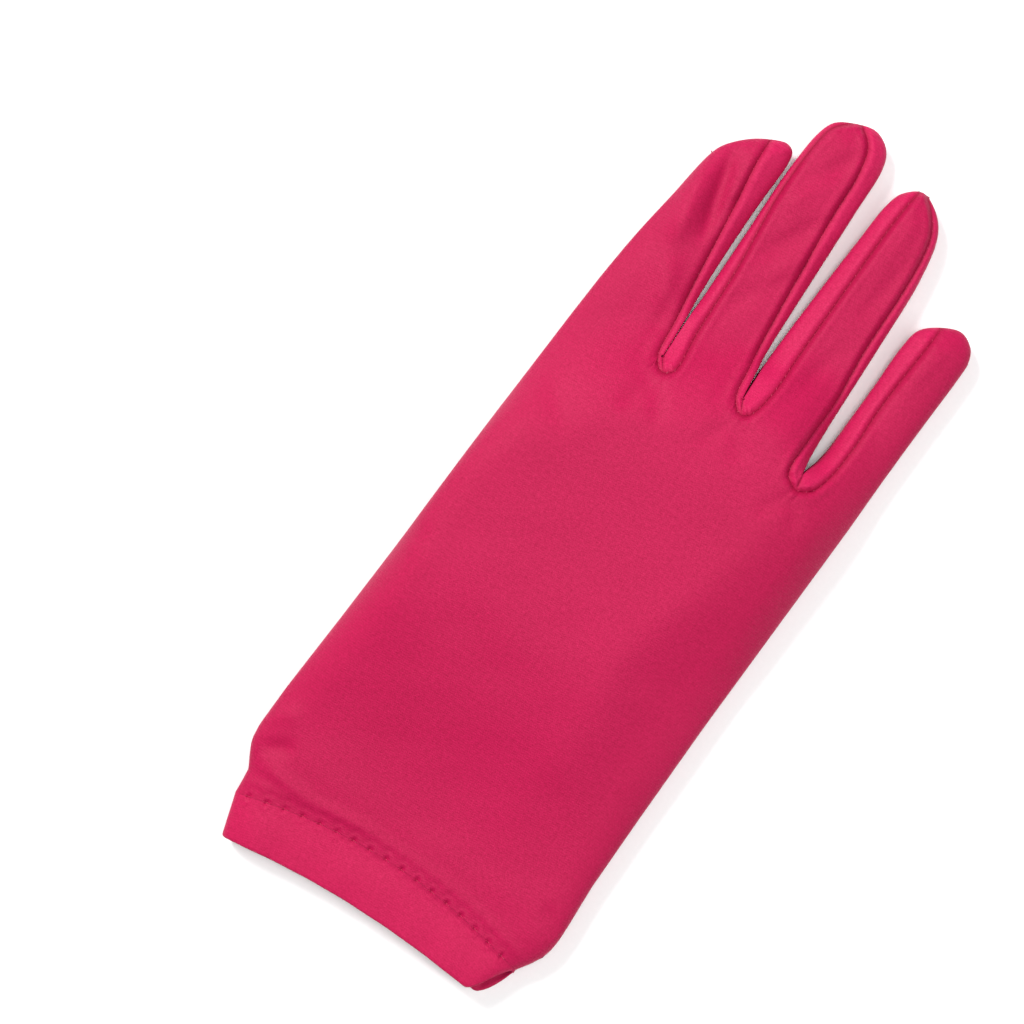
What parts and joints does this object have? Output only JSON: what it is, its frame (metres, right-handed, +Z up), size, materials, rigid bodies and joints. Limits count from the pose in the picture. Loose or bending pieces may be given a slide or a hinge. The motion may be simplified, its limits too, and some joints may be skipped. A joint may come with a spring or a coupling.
{
  "type": "wrist-length dress glove",
  "caption": "Wrist-length satin dress glove for the right hand, lying flat with its back up and the thumb folded under the palm.",
  "frame": {"origin": "bottom centre of the bounding box, on the surface the glove lies on", "axes": "+X towards the little finger, +Y from the cuff to the fingertips, +Z up, out of the back of the hand"},
  "size_m": [0.0996, 0.233, 0.0165],
  "materials": {
    "satin": "matte satin knit, deep pink",
    "satin_side": "matte satin knit, deep pink, side strips",
    "satin_hem": "matte satin knit, deep pink, doubled hem"
  },
  "bodies": {
    "root": {"back_panel": "satin", "palm_panel": "satin", "fourchette_index_right": "satin_side", "fourchette_middle_left": "satin_side", "fourchette_middle_right": "satin_side", "fourchette_ring_left": "satin_side", "fourchette_ring_right": "satin_side", "fourchette_little_left": "satin_side", "thumb": "satin", "cuff_hem": "satin_hem"}
  },
  "joints": []
}
